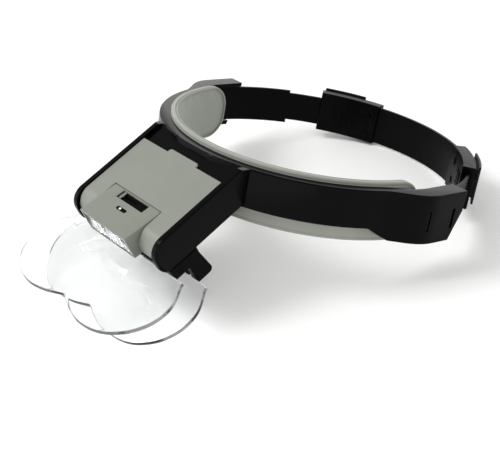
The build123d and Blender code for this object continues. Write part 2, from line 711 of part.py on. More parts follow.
def switch_slider():
    half = SWITCH_RIB_WIDTH / 2
    top = LAMP_HINGE_D + SWITCH_PROUD
    rib_x = (SWITCH_OFF_X - half, SWITCH_OFF_X + half)
    rib = block(rib_x, window_y(SWITCH_GAP - 0.05), (BEZEL_TOP + SWITCH_GAP, top))
    rib = fillet(rib.edges().filter_by(Axis.Y).sort_by(Axis.Z)[-2:], 0.3)
    stem_x = (SWITCH_OFF_X - SWITCH_STEM_HALF, SWITCH_OFF_X + SWITCH_STEM_HALF)
    stem_y = (switch_line_y() - SWITCH_STEM_HALF, switch_line_y() + SWITCH_STEM_HALF)
    stem = block(stem_x, stem_y, (SWITCH_SLOT_FLOOR + SWITCH_GAP, LAMP_HINGE_D))
    return LAMP * (rib + stem)


def indicator_body(gap):
    """A pill-shaped inlay, let into the lamp's top face."""
    length, width = (size + 2 * gap for size in INDICATOR_SIZE)
    pill = extrude(SlotOverall(length, width), INDICATOR_DEPTH + SEAT_GAP + gap, dir=(0, 0, 1))
    return Pos(0, INDICATOR_Y, LAMP_HINGE_D - INDICATOR_DEPTH - gap) * pill


def indicator_inlay():
    return LAMP * indicator_body(0.0)


def indicator_dot():
    middle = LAMP_HINGE_D + SEAT_GAP + DOT_HEIGHT / 2
    return LAMP * Pos(DOT_X, INDICATOR_Y, middle) * Cylinder(DOT_R, DOT_HEIGHT)


# ------------------------------------------------------------------ lens carrier and plates
def lens_slot(frame_in_visor):
    half = LENS_TONGUE_HALF_WIDTH + LENS_SLOT_GAP
    high = LENS_THICKNESS / 2 + LENS_SLOT_GAP
    back = LENS_TONGUE + LENS_SLOT_GAP
    return frame_in_visor * block((-half, half), (-8, back), (-high, high))


def lens_carrier():
    outline = [
        (CARRIER_BACK + 4, CARRIER_TOP + 0.4),
        (CARRIER_FRONT, CARRIER_TOP),
        (CARRIER_FRONT, CARRIER_STEP_D),
        (CARRIER_STEP, CARRIER_STEP_D),
        (CARRIER_STEP, CARRIER_BOTTOM),
        (CARRIER_BACK, CARRIER_BOTTOM),
    ]
    x = (-CARRIER_HALF_WIDTH, CARRIER_HALF_WIDTH)
    body = visor_prism(outline, x)
    lengthwise = body.edges().filter_by(Axis.X)
    back_corner = lengthwise.sort_by(lambda edge: edge.center().Y * -1 + edge.center().Z)[0]
    body = fillet(back_corner, CARRIER_CORNER)
    rims = [edge for face in body.faces().filter_by(Axis.X) for edge in face.edges()]
    body = fillet(rims, 0.5)
    for side in (-1, 1):
        gap_x = sorted((side * (LUG_X[0] - LUG_GAP), side * (LUG_X[1] + LUG_GAP)))
        body -= visor_block(gap_x, (CARRIER_BACK - 5, CARRIER_STEP), (10, CARRIER_BOTTOM + 5))
    body -= lens_slot(FRONT_SEAT)
    body -= lens_slot(REAR_SEAT)
    body -= both_sides(rod_x(CARRIER_PIN_R, CARRIER_PIN_X, -CARRIER_HINGE_S, -CARRIER_HINGE_D))
    return VISOR * body


def carrier_pin(side):
    pin = rod_x(CARRIER_PIN_R, CARRIER_PIN_X, -CARRIER_HINGE_S, -CARRIER_HINGE_D)
    return VISOR * (pin if side > 0 else mirror(pin, Plane.YZ))


def lens_half_outline(side):
    """The double-lobed edge from the shoulder round one lobe to the cusp between the lobes."""
    w = LENS_HALF_WIDTH
    h = LENS_HEIGHT
    points = [
        (LENS_SHOULDER_X, LENS_SHOULDER),
        (0.965 * w, 0.24 * h),
        (w, 0.44 * h),
        (0.965 * w, 0.62 * h),
        (0.86 * w, 0.80 * h),
        (0.68 * w, 0.945 * h),
        (LENS_LOBE_X, h),
        (0.23 * w, 0.965 * h),
        (0, LENS_CUSP),
    ]
    return Spline(*[(side * x, -v) for x, v in points])


def lens_plate():
    """A flat clear plate with a shallow magnifying crown on each lobe and a tongue for its slot."""
    tongue = LENS_TONGUE_HALF_WIDTH
    right = lens_half_outline(1)
    left = lens_half_outline(-1)
    rim = Polyline(
        (-LENS_SHOULDER_X, -LENS_SHOULDER),
        (-tongue, -LENS_SHOULDER),
        (-tongue, LENS_TONGUE),
        (tongue, LENS_TONGUE),
        (tongue, -LENS_SHOULDER),
        (LENS_SHOULDER_X, -LENS_SHOULDER),
    )
    face = make_face([*rim.edges(), right, left])
    half = LENS_THICKNESS / 2
    plate = extrude(Pos(0, 0, -half) * face, LENS_THICKNESS, dir=(0, 0, 1))
    ball = (OPTIC_R**2 + OPTIC_CROWN**2) / (2 * OPTIC_CROWN)
    for side in (-1, 1):
        crown = Pos(0, 0, half + OPTIC_CROWN - ball) * Sphere(ball)
        crown = crown & Pos(0, 0, half + OPTIC_CROWN / 2) * Cylinder(OPTIC_R + 1, OPTIC_CROWN)
        plate += Pos(side * OPTIC_X, -OPTIC_Y, 0) * crown
    return plate


# ------------------------------------------------------------------ rear of the headband
def tail(side):
    """A springy plate with ratchet teeth; two bosses snap into the windows of the arm."""
    wide = sector(tail_radii(), (TAIL_START_BEARING, TAIL_SHOULDER_BEARING), TAIL_WIDE_Z)
    narrow = sector(tail_radii(), (TAIL_SHOULDER_BEARING - 1, TAIL_END_BEARING), TAIL_NARROW_Z)
    ends = [edge for edge in narrow.edges() if abs(edge.length - TAIL_THICKNESS) < 0.01]
    ends = sorted(ends, key=lambda edge: edge.center().Y)[-2:]
    body = wide + fillet(ends, 3.0)
    step = degrees(TOOTH_PITCH / TAIL_R)
    outer = tail_radii()[1]
    count = int((TAIL_END_BEARING - TAIL_SHOULDER_BEARING - 5) / step)
    for index in range(count):
        bearing = TAIL_SHOULDER_BEARING + 2.5 + index * step
        place = polar(outer, bearing)
        turned = Rot(0, 0, bearing + 45) * Box(TOOTH_SIZE, TOOTH_SIZE, TOOTH_LENGTH)
        notch = Pos(place[0], place[1], sum(TAIL_NARROW_Z) / 2) * turned
        body -= notch
    for window in ARM_WINDOW_Y:
        boss = block(
            (TAIL_R - 1, ARM_OUTER_X - 1.1),
            (window - ARM_WINDOW_WIDTH / 2 + ARM_BOSS_GAP, window + ARM_WINDOW_WIDTH / 2 - ARM_BOSS_GAP),
            widen(ARM_WINDOW_Z, -2 * ARM_BOSS_GAP),
        )
        body += boss
    return body if side > 0 else mirror(body, Plane.YZ)


def buckle_bearings(side):
    if side > 0:
        return (BUCKLE_LEFT_BEARING, BUCKLE_LEFT_BEARING + BUCKLE_SPAN)
    return (BUCKLE_RIGHT_BEARING - BUCKLE_SPAN, BUCKLE_RIGHT_BEARING)


def strap_end(side):
    """Where the strap's end lies, from inside the buckle to its mouth."""
    start, end = buckle_bearings(side)
    return (end - STRAP_IN_BUCKLE, end) if side > 0 else (start, start + STRAP_IN_BUCKLE)


def rivet_places(side):
    middle = sum(strap_end(side)) / 2
    return [(middle, z) for z in RIVET_Z]


def rivet_bores(side):
    return [rod_out(RIVET_R, (BUCKLE_R[0] - 1, strap_radii()[1]), b, z) for b, z in rivet_places(side)]


def lever_bearing(side):
    """The lever sits clear of the riveted strap end."""
    start, end = buckle_bearings(side)
    return start + LEVER_FROM_MOUTH if side > 0 else end - LEVER_FROM_MOUTH


def buckle(side):
    bearings = buckle_bearings(side)
    body = sector(BUCKLE_R, bearings, BUCKLE_Z)
    body = fillet(body.edges().filter_by(Axis.Z), BUCKLE_CORNER)
    rims = body.faces().sort_by(Axis.Z)[0].edges() + body.faces().sort_by(Axis.Z)[-1].edges()
    body = fillet(rims, BUCKLE_RIM)
    passage = widen(TAIL_NARROW_Z, PASSAGE_GAP)
    body -= sector(tail_radii(PASSAGE_GAP), widen(bearings, 1), passage)
    mouth = strap_end(side)
    mouth = (mouth[0] - 0.2, mouth[1] + 1) if side > 0 else (mouth[0] - 1, mouth[1] + 0.2)
    body -= sector((strap_radii(0.05)[0], TAIL_R), mouth, widen(STRAP_Z, SEAT_GAP))
    middle = lever_bearing(side)
    opening = (middle - LEVER_WINDOW_HALF_SPAN, middle + LEVER_WINDOW_HALF_SPAN)
    body -= sector((TAIL_R, BUCKLE_R[1] + MERGE), opening, widen(LEVER_Z, LEVER_WINDOW_GAP))
    body -= lever_rod(middle, LEVER_PIN_R, LEVER_PIN_REACH)
    for ridge in FINGER_RIDGES:
        bearings = (middle + ridge - 0.4, middle + ridge + 0.4)
        body += sector((BUCKLE_R[0] - 0.6, BUCKLE_R[0] + MERGE), bearings, widen(LEVER_Z, 1.5))
    for bore in rivet_bores(side):
        body -= bore
    return body


def lever_rod(bearing, radius, reach):
    """A rod along a lever's pivot, standing out of the lever's body by reach at each end."""
    x, y = polar(LEVER_PIVOT_R, bearing)
    length = LEVER_Z[1] - LEVER_Z[0] + 2 * reach
    return Pos(x, y, sum(LEVER_Z) / 2) * Cylinder(radius, length)


def release_lever(side):
    """A rocking lever: its pawl drops into the tail's teeth, and pressing its thumb end lifts the pawl."""
    cap = sector(LEVER_CAP_R, (-LEVER_CAP_HALF_SPAN, LEVER_CAP_HALF_SPAN), LEVER_CAP_Z)
    cap = chamfer(cap.faces().sort_by(Axis.Z)[-1].edges(), LEVER_CAP_CHAMFER)
    body = cap + sector((LEVER_PAWL_R, LEVER_CAP_R[0] + MERGE), (0, LEVER_HALF_SPAN), LEVER_Z)
    body += sector((LEVER_PRESS_R, LEVER_CAP_R[0] + MERGE), (-LEVER_HALF_SPAN, MERGE), LEVER_Z)
    body += lever_rod(0, LEVER_HUB_R, 0.0)
    half = degrees(THUMB_GROOVE_WIDTH / 2 / LEVER_CAP_R[1])
    radii = (LEVER_CAP_R[1] - THUMB_GROOVE_DEPTH, LEVER_CAP_R[1] + MERGE)
    for groove in THUMB_GROOVES:
        body -= sector(radii, (-groove - half, -groove + half), widen(LEVER_CAP_Z, 1))
    body -= lever_rod(0, LEVER_PIN_R + HINGE_CLEARANCE, LEVER_PIN_REACH)
    if side > 0:
        body = mirror(body, Plane.YZ)
    return Rot(0, 0, lever_bearing(side)) * body


def lever_pins():
    return [lever_rod(lever_bearing(side), LEVER_PIN_R, LEVER_PIN_REACH) for side in (-1, 1)]


def rear_strap():
    start = strap_end(1)[0]
    end = strap_end(-1)[1]
    body = sector(strap_radii(), (start, end), STRAP_Z)
    for side in (-1, 1):
        for bore in rivet_bores(side):
            body -= bore
    return body


def strap_rivets():
    rivets = []
    for side in (-1, 1):
        for bearing, z in rivet_places(side):
            shank = rod_out(RIVET_R, (BUCKLE_R[0], strap_radii()[1]), bearing, z)
            head = rod_out(RIVET_HEAD_R, (BUCKLE_R[0] - RIVET_HEAD_HEIGHT, BUCKLE_R[0] - 0.02), bearing, z)
            rivets.append(shank + head)
    return rivets


# ------------------------------------------------------------------ the whole object
def all_nodes():
    nodes = {
        "front_band": front_band(),
        "forehead_pad": forehead_pad(),
        "pad_studs": pad_studs(),
        "visor_housing": visor_housing(),
        "housing_screws": housing_screws(),
        "lamp_pin": lamp_pin(),
        "battery_cell_rear": battery_cell(0),
        "battery_cell_front": battery_cell(1),
        "contact_springs": [contact_spring(0), contact_spring(1)],
        "contact_plates": contact_plates(),
        "battery_cover": battery_cover(),
        "lamp_shell": lamp_shell(),
        "lamp_base": lamp_base(),
        "led_reflector": led_reflector(),
        "led_left": led(1),
        "led_right": led(-1),
        "lamp_window": lamp_window(),
        "circuit_board": circuit_board(),
        "switch_bezel": switch_bezel(),
        "switch_slider": switch_slider(),
        "indicator_inlay": indicator_inlay(),
        "indicator_dot": indicator_dot(),
        "lens_carrier": lens_carrier(),
        "carrier_pin_left": carrier_pin(1),
        "carrier_pin_right": carrier_pin(-1),
        "lens_plate_front": LENS_FRONT * lens_plate(),
        "lens_plate_rear": LENS_REAR * lens_plate(),
        "tail_left": tail(1),
        "tail_right": tail(-1),
        "buckle_left": buckle(1),
        "buckle_right": buckle(-1),
        "release_lever_left": release_lever(1),
        "release_lever_right": release_lever(-1),
        "lever_pins": lever_pins(),
        "rear_strap": rear_strap(),
        "strap_rivets": strap_rivets(),
    }
    for name, shape in nodes.items():
        if isinstance(shape, list):
            nodes[name] = Compound(children=shape)
    return nodes


def table_tilt():
    """The angle about X at which the strap's lower edge and the rear lens plate lie level."""
    lens = (LENS_REAR * Pos(0, -LENS_HEIGHT, -LENS_THICKNESS / 2)).position
    strap_y = strap_radii()[1]
    return degrees(atan2(STRAP_Z[0] - lens.Z, strap_y - lens.Y))


def table_pose(nodes):
    """Turns the ring frame by the tilt and puts the origin at the bottom centre of the box."""
    tilt = Rot(-table_tilt(), 0, 0)
    box = Compound(children=[tilt * shape for shape in nodes.values()]).bounding_box()
    return Pos(0, -(box.min.Y + box.max.Y) / 2, -box.min.Z) * tilt


def main():
    nodes = all_nodes()
    pose = table_pose(nodes)
    os.makedirs("parts", exist_ok=True)
    for name, shape in nodes.items():
        export_step(pose * shape, f"parts/{name}.step")


main()
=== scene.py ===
import json
from math import asin, atan2, cos, exp, pi, radians, sin, sqrt

import bmesh
import bpy
from mathutils import Matrix, Quaternion, Vector


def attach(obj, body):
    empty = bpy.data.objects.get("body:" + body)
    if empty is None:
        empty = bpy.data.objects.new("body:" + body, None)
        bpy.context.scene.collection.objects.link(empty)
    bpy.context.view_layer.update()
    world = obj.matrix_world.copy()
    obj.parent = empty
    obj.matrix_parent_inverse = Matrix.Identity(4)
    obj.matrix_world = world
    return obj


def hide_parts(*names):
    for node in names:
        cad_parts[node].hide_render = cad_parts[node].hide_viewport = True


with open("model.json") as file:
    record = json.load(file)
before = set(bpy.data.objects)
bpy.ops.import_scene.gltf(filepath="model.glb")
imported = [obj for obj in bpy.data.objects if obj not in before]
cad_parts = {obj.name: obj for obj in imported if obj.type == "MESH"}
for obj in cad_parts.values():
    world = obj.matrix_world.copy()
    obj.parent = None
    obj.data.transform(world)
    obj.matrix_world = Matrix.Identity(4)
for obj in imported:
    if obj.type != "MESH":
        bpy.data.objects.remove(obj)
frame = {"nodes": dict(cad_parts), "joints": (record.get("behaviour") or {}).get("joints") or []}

MM = 0.001
SIDEWAYS = Vector((1, 0, 0))
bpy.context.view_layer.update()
joints = {joint["name"]: joint for joint in frame["joints"]}


# ---------------------------------------------------------------- table, light and camera
# The visor lies on a white table, under a broad soft light high on the wearer's front right.
# The camera looks down on it from the wearer's front left. The sky is white in a low band all
# round and grey overhead.
VIEW_AZIMUTH = 51.93
VIEW_ELEVATION = 32.88
VIEW_ROLL = -3.36
VIEW_DISTANCE = 0.6564
VIEW_CENTRE = Vector((0.0332, -0.0302, 0.030))
LENS_LENGTH = 82.8
VIEW_REACH = 60.0
TABLE_HALF = 9.0
KEY_PLACE = Vector((-0.85, -0.95, 1.55))
KEY_POWER = 22.0
KEY_SIZE = 0.8
SKY_TONES = ((0.30, "#FFFFFF"), (0.52, "#989898"))


def linear(hex_colour):
    """An sRGB hex colour as linear red, green, blue and alpha."""
    parts = [int(hex_colour[i : i + 2], 16) / 255 for i in (1, 3, 5)]
    return [c / 12.92 if c <= 0.04045 else ((c + 0.055) / 1.055) ** 2.4 for c in parts] + [1.0]


def add(tree, kind, inputs=None, **settings):
    """Adds a node. An input takes a plain value, or another node's output socket to link from."""
    made = tree.nodes.new(kind)
    for name, value in settings.items():
        setattr(made, name, value)
    for name, value in (inputs or {}).items():
        if isinstance(value, bpy.types.NodeSocket):
            tree.links.new(value, made.inputs[name])
        else:
            made.inputs[name].default_value = value
    return made


def new_material(name):
    """An empty node material, with its tree and its output node."""
    made = bpy.data.materials.new(name)
    made.use_nodes = True
    made.node_tree.nodes.clear()
    return made, made.node_tree, add(made.node_tree, "ShaderNodeOutputMaterial")


def set_ramp(ramp, stops):
    """Gives a colour ramp these positions and colours, from low to high."""
    while len(ramp.elements) < len(stops):
        ramp.elements.new(1.0)
    for element, (position, hex_colour) in zip(ramp.elements, stops):
        element.position = position
        element.color = linear(hex_colour)


def new_piece(name, data):
    """An object with this mesh, lamp or camera, in the scene."""
    made = bpy.data.objects.new(name, data)
    bpy.context.scene.collection.objects.link(made)
    return made


def evaluated(piece):
    """The piece as its modifiers make it."""
    return piece.evaluated_get(bpy.context.evaluated_depsgraph_get())


camera = new_piece("camera", bpy.data.cameras.new("camera"))
azimuth, elevation = radians(VIEW_AZIMUTH), radians(VIEW_ELEVATION)
level_way = Vector((sin(azimuth), -cos(azimuth), 0))
backwards = level_way * cos(elevation) + Vector((0, 0, sin(elevation)))
camera.location = VIEW_CENTRE + backwards * VIEW_DISTANCE
camera.rotation_mode = "QUATERNION"
level = (-backwards).to_track_quat("-Z", "Y")
camera.rotation_quaternion = level @ Quaternion((0, 0, 1), radians(VIEW_ROLL))
camera.data.lens = LENS_LENGTH
camera.data.clip_end = VIEW_REACH
bpy.context.scene.camera = camera
bpy.context.scene.view_settings.view_transform = "Standard"

table_mesh = bpy.data.meshes.new("table")
table_signs = ((-1, -1), (1, -1), (1, 1), (-1, 1))
table_corners = [(x * TABLE_HALF, y * TABLE_HALF, 0) for x, y in table_signs]
table_mesh.from_pydata(table_corners, [], [(0, 1, 2, 3)])
table = new_piece("table", table_mesh)

# White card: matt, with the faint tooth of its fibres.
white_card, tree, output = new_material("white_card_matt")
coordinates = add(tree, "ShaderNodeTexCoord").outputs["Object"]
fibre = add(tree, "ShaderNodeTexNoise", {"Vector": coordinates, "Scale": 180.0, "Detail": 3.0})
tooth = {"Height": fibre.outputs["Fac"], "Strength": 0.05, "Distance": 0.2 * MM}
card = {"Base Color": linear("#FBFBFA"), "Roughness": 0.62, "Specular IOR Level": 0.25}
card["Normal"] = add(tree, "ShaderNodeBump", tooth).outputs["Normal"]
surface = add(tree, "ShaderNodeBsdfPrincipled", card)
tree.links.new(surface.outputs["BSDF"], output.inputs["Surface"])
table_mesh.materials.append(white_card)

world = bpy.data.worlds.new("soft_sky")
world.use_nodes = True
sky = world.node_tree
sky.nodes.clear()
direction = add(sky, "ShaderNodeTexCoord").outputs["Generated"]
height = add(sky, "ShaderNodeSeparateXYZ", {"Vector": direction}).outputs["Z"]
sky_ramp = add(sky, "ShaderNodeValToRGB", {"Fac": height})
set_ramp(sky_ramp.color_ramp, SKY_TONES)
glow = {"Value": height, "From Max": 0.4, "To Min": 1.7, "To Max": 2.0}
level_glow = add(sky, "ShaderNodeMapRange", glow)
sky_light = add(sky, "ShaderNodeBackground", {"Color": sky_ramp.outputs["Color"]})
sky.links.new(level_glow.outputs["Result"], sky_light.inputs["Strength"])
add(sky, "ShaderNodeOutputWorld", {"Surface": sky_light.outputs["Background"]})
bpy.context.scene.world = world

key = new_piece("key", bpy.data.lights.new("key", "AREA"))
key.data.energy = KEY_POWER
key.data.size = KEY_SIZE
key.location = KEY_PLACE
key.rotation_mode = "QUATERNION"
key.rotation_quaternion = (-KEY_PLACE).to_track_quat("-Z", "Y")


# ---------------------------------------------------------------- headband
# The front of the headband is one gloss black ABS moulding, with a rounded top edge and deeper
# arms. Its hollow inner side is hidden by the pad. The corners left sharp by the mould are eased.
RING_AXIS = Vector(joints["strap_shift"]["axis"]).normalized()
RING_CENTRE = Vector(joints["strap_shift"]["pos_m"])
RING_BACK = RING_AXIS.cross(SIDEWAYS)
WELD_DISTANCE = 0.002 * MM
FLAT_ANGLE = radians(0.5)
EASED_ANGLE = radians(32)
EASED_SEGMENTS = 2
PATCH_SIZE = 18
SMEAR_SIZE = 7
ROUGHNESS_SPREAD = 0.08


def ring_point(radius, bearing, height):
    """A point from its distance to the ring's axis, its bearing from the front and its height."""
    out = SIDEWAYS * sin(bearing) - RING_BACK * cos(bearing)
    return RING_CENTRE + out * radius + RING_AXIS * height


def ring_place(point):
    """The radius, bearing and height of a point: the reverse of ring_point."""
    arm = point - RING_CENTRE
    across, back, height = arm.dot(SIDEWAYS), arm.dot(RING_BACK), arm.dot(RING_AXIS)
    return sqrt(across * across + back * back), atan2(across, -back), height


def spans(node, measure):
    """The lowest and highest of each number that measure gives for a CAD node's points."""
    rows = [measure(vertex.co) for vertex in frame["nodes"][node].data.vertices]
    return [(min(column), max(column)) for column in zip(*rows)]


def moulded_plastic(name, tones, roughness, grain, relief, specular=0.5):
    """A moulded plastic: two close tones in slow patches, and the fine grain of its mould.

    The sizes of the grain and its relief are in millimetres.
    """
    made, tree, output = new_material(name)
    place = add(tree, "ShaderNodeTexCoord").outputs["Object"]
    slow = {"Vector": place, "Scale": 1 / (PATCH_SIZE * MM), "Detail": 4.0}
    patches = add(tree, "ShaderNodeTexNoise", slow).outputs["Fac"]
    two_tone = {"Factor": patches, "A": linear(tones[0]), "B": linear(tones[1])}
    mix = add(tree, "ShaderNodeMix", two_tone, data_type="RGBA")
    fine = {"Vector": place, "Scale": 1 / (grain * MM), "Detail": 2.0}
    grains = add(tree, "ShaderNodeTexNoise", fine).outputs["Fac"]
    bump = {"Height": grains, "Strength": 0.6, "Distance": relief * MM}
    touched = {"Vector": place, "Scale": 1 / (SMEAR_SIZE * MM), "Detail": 5.0}
    spread = {
        "Value": add(tree, "ShaderNodeTexNoise", touched).outputs["Fac"],
        "To Min": roughness * (1 - ROUGHNESS_SPREAD),
        "To Max": roughness * (1 + ROUGHNESS_SPREAD),
    }
    plastic = {
        "Base Color": mix.outputs["Result"],
        "Roughness": add(tree, "ShaderNodeMapRange", spread).outputs["Result"],
        "Normal": add(tree, "ShaderNodeBump", bump).outputs["Normal"],
        "Specular IOR Level": specular,
    }
    surface = add(tree, "ShaderNodeBsdfPrincipled", plastic)
    tree.links.new(surface.outputs["BSDF"], output.inputs["Surface"])
    return made


def finish_node(node, material):
    """Gives a CAD node that keeps its own shape its finished material."""
    mesh = frame["nodes"][node].data
    mesh.materials.clear()
    mesh.materials.append(material)


def eased(node, body, material, width):
    """A copy of a CAD moulding with its sharp edges rounded over by width, in millimetres."""
    mesh = frame["nodes"][node].data.copy()
    shape = bmesh.new()
    shape.from_mesh(mesh)
    bmesh.ops.remove_doubles(shape, verts=shape.verts, dist=WELD_DISTANCE)
    bmesh.ops.dissolve_limit(
        shape, angle_limit=FLAT_ANGLE, verts=shape.verts, edges=shape.edges
    )
    for face in shape.faces:
        face.smooth = True
    shape.to_mesh(mesh)
    shape.free()
    if "custom_normal" in mesh.attributes:
        mesh.attributes.remove(mesh.attributes["custom_normal"])
    mesh.materials.clear()
    mesh.materials.append(material)
    piece = new_piece(node + "_moulding", mesh)
    bevel = piece.modifiers.new("eased_edges", "BEVEL")
    bevel.width = width * MM
    bevel.segments = EASED_SEGMENTS
    bevel.limit_method = "ANGLE"
    bevel.angle_limit = EASED_ANGLE
    bevel.harden_normals = True
    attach(piece, body)
    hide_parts(node)


# Gloss black ABS, straight from a polished mould: near black, a sharp sheen, faint flow waviness.
BLACK = ("#010102", "#030304")
gloss_black_abs = moulded_plastic("gloss_black_abs", BLACK, 0.20, 6.0, 0.003, 0.07)
eased("front_band", "headband", gloss_black_abs, 0.25)


# ---------------------------------------------------------------- forehead pad
# A strip of soft foam in a smooth grey skin, held to the band by studs. Its rim is pressed thin and
# its field is crowned. A short cloth simulation blows up the skin, and then the groove is pressed in.
PAD_CORNER = 15.0 * MM
PAD_START = 0.78  # the share of the CAD pad's depth that the skin has before it is blown up
PAD_RIM = 1.7 * MM
PAD_SWELL = 0.3 * MM
PAD_END_STEPS = 9
PAD_RUN_STEPS = 72
PAD_ROWS = 13
PAD_CROWDING = 1.5  # how closely the steps crowd towards the rim
GROOVE_INSET = 2.6 * MM
GROOVE_HALF_WIDTH = 0.45 * MM
GROOVE_DEPTH = 0.5 * MM
PARTING_DEPTH = 0.5 * MM
PARTING_REACH = 0.35 * MM
CLOTH_FRAMES = 20
CLOTH = {
    "quality": 4,
    "mass": 0.15,
    "tension_stiffness": 12,
    "compression_stiffness": 12,
    "use_pressure": True,
    "uniform_pressure_force": 4,
}

pad_radius, pad_bearing, pad_height = spans("forehead_pad", ring_place)
pad_middle = sum(pad_radius) / 2
pad_half_length = pad_middle * pad_bearing[1]
pad_half_height = (pad_height[1] - pad_height[0]) / 2
pad_mid_height = sum(pad_height) / 2
skin_half_depth = PAD_START * (pad_radius[1] - pad_radius[0]) / 2
skin_middle = pad_radius[1] - skin_half_depth


def pad_inset(along, up):
    """How far a point of the pad, laid out flat, is from the pad's rounded outline."""
    across = abs(along) - (pad_half_length - PAD_CORNER)
    over = abs(up) - (pad_half_height - PAD_CORNER)
    outside = sqrt(max(across, 0) ** 2 + max(over, 0) ** 2)
    return PAD_CORNER - outside - min(max(across, over), 0)


def both_ways(distances, half):
    """Places along a line from -half to half, with these distances in from each end."""
    return [d - half for d in distances] + [half - d for d in reversed(distances[:-1])]


def crowded(length, count):
    """Distances in from an edge, from nothing to length, which crowd towards the edge."""
    return [length * (k / count) ** PAD_CROWDING for k in range(count + 1)]


straight = pad_half_length - PAD_CORNER
end_steps = crowded(PAD_CORNER, PAD_END_STEPS)[:-1]
end_steps += [PAD_CORNER + straight * k / PAD_RUN_STEPS for k in range(PAD_RUN_STEPS + 1)]
pad_alongs = both_ways(end_steps, pad_half_length)
pad_vertices, pad_faces, pad_front, pad_back = [], [], {}, {}
for i, along in enumerate(pad_alongs):
    end = pad_half_length - abs(along)
    cut = PAD_CORNER - sqrt(max(PAD_CORNER**2 - max(PAD_CORNER - end, 0) ** 2, 0))
    half = pad_half_height - cut
    ups = both_ways(crowded(half, PAD_ROWS), half)
    for j, up in enumerate(ups):
        inset = max(pad_inset(along, up), 0)
        swell = 1 - (1 - min(inset / PAD_RIM, 1)) ** 2
        offset = skin_half_depth * sqrt(swell)
        rim = i in (0, len(pad_alongs) - 1) or j in (0, len(ups) - 1)
        bearing = along / pad_middle
        pad_front[i, j] = len(pad_vertices)
        inner = skin_middle - (0 if rim else offset)
        pad_vertices.append(ring_point(inner, bearing, pad_mid_height + up))
        pad_back[i, j] = pad_front[i, j]
        if not rim:
            pad_back[i, j] = len(pad_vertices)
            pad_vertices.append(ring_point(skin_middle + offset, bearing, pad_mid_height + up))
for i in range(len(pad_alongs) - 1):
    for j in range(2 * PAD_ROWS):
        corners = [(i, j), (i + 1, j), (i + 1, j + 1), (i, j + 1)]
        pad_faces.append([pad_front[c] for c in corners])
        pad_faces.append([pad_back[c] for c in reversed(corners)])

pad_mesh = bpy.data.meshes.new("forehead_cushion")
pad_mesh.from_pydata(pad_vertices, [], pad_faces)
shape = bmesh.new()
shape.from_mesh(pad_mesh)
bmesh.ops.recalc_face_normals(shape, faces=shape.faces)
shape.to_mesh(pad_mesh)
shape.free()
cushion = new_piece("forehead_cushion", pad_mesh)

held = cushion.vertex_groups.new(name="held_by_band")
held.add(sorted(set(pad_back.values())), 1.0, "REPLACE")
cloth = cushion.modifiers.new("skin", "CLOTH")
for setting, value in CLOTH.items():
    setattr(cloth.settings, setting, value)
cloth.settings.vertex_group_mass = held.name
cloth.settings.effector_weights.gravity = 0
cloth.collision_settings.use_collision = False
for number in range(1, CLOTH_FRAMES + 1):
    bpy.context.scene.frame_set(number)
places = [vertex.co.copy() for vertex in evaluated(cushion).data.vertices]
cushion.modifiers.remove(cloth)
cushion.vertex_groups.clear()
for vertex, place in zip(pad_mesh.vertices, places):
    move = place - vertex.co
    vertex.co += move * min(1.0, PAD_SWELL / max(move.length, 1e-9))
bpy.context.scene.frame_set(1)

subdivision = cushion.modifiers.new("smooth_skin", "SUBSURF")
subdivision.levels = 1
subdivision.render_levels = 1
smoothed = bpy.data.meshes.new_from_object(evaluated(cushion))
cushion.modifiers.remove(subdivision)
cushion.data = smoothed
for vertex in smoothed.vertices:
    radius, bearing, height = ring_place(vertex.co)
    up = height - pad_mid_height
    inset = pad_inset(bearing * pad_middle, up)
    inwards = 1 if radius < skin_middle else -1
    pressed = GROOVE_DEPTH * exp(-(((inset - GROOVE_INSET) / GROOVE_HALF_WIDTH) ** 2))
    parting = PARTING_DEPTH * exp(-((inset / PARTING_REACH) ** 2))
    height -= parting * (1 if up > 0 else -1)
    vertex.co = ring_point(radius + inwards * pressed, bearing, height)
for face in smoothed.polygons:
    face.use_smooth = True

# Soft foam in a smooth cast skin: matt light grey, tiny pores and a slight bloom at grazing angles.
foam_skin, tree, output = new_material("grey_foam_cast_skin")
place = add(tree, "ShaderNodeTexCoord").outputs["Object"]
cloud = add(tree, "ShaderNodeTexNoise", {"Vector": place, "Scale": 1 / (9 * MM), "Detail": 5.0})
two_tone = {"Factor": cloud.outputs["Fac"], "A": linear("#80837A"), "B": linear("#8B8E85")}
tone = add(tree, "ShaderNodeMix", two_tone, data_type="RGBA")
pores = add(tree, "ShaderNodeTexVoronoi", {"Vector": place, "Scale": 1 / (0.9 * MM)})
pore_bump = {"Height": pores.outputs["Distance"], "Strength": 0.35, "Distance": 0.05 * MM}
skin = {
    "Base Color": tone.outputs["Result"],
    "Roughness": 0.55,
    "Sheen Weight": 0.25,
    "Sheen Roughness": 0.5,
    "Normal": add(tree, "ShaderNodeBump", pore_bump).outputs["Normal"],
}
surface = add(tree, "ShaderNodeBsdfPrincipled", skin)
tree.links.new(surface.outputs["BSDF"], output.inputs["Surface"])
smoothed.materials.clear()
smoothed.materials.append(foam_skin)
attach(cushion, "headband")
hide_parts("forehead_pad")

# A thin welt, moulded with the skin, follows the pad's outline on the side of the head.
WELT_INSET = 1.1 * MM
WELT_RADIUS = 0.5 * MM
WELT_LIFT = 0.25 * MM
WELT_SIDES = 10
WELT_TURN_STEPS = 24
WELT_RUN_STEPS = 160


def node_piece(name, guide, tree, values, body):
    """Runs a geometry node tree on a guide mesh and keeps the result as a plain mesh."""
    piece = new_piece(name, guide)
    maker = piece.modifiers.new(name, "NODES")
    maker.node_group = tree
    for socket in tree.interface.items_tree:
        if socket.in_out == "INPUT" and socket.name in values:
            maker[socket.identifier] = values[socket.name]
    baked = bpy.data.meshes.new_from_object(evaluated(piece))
    piece.modifiers.remove(maker)
    piece.data = baked
    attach(piece, body)


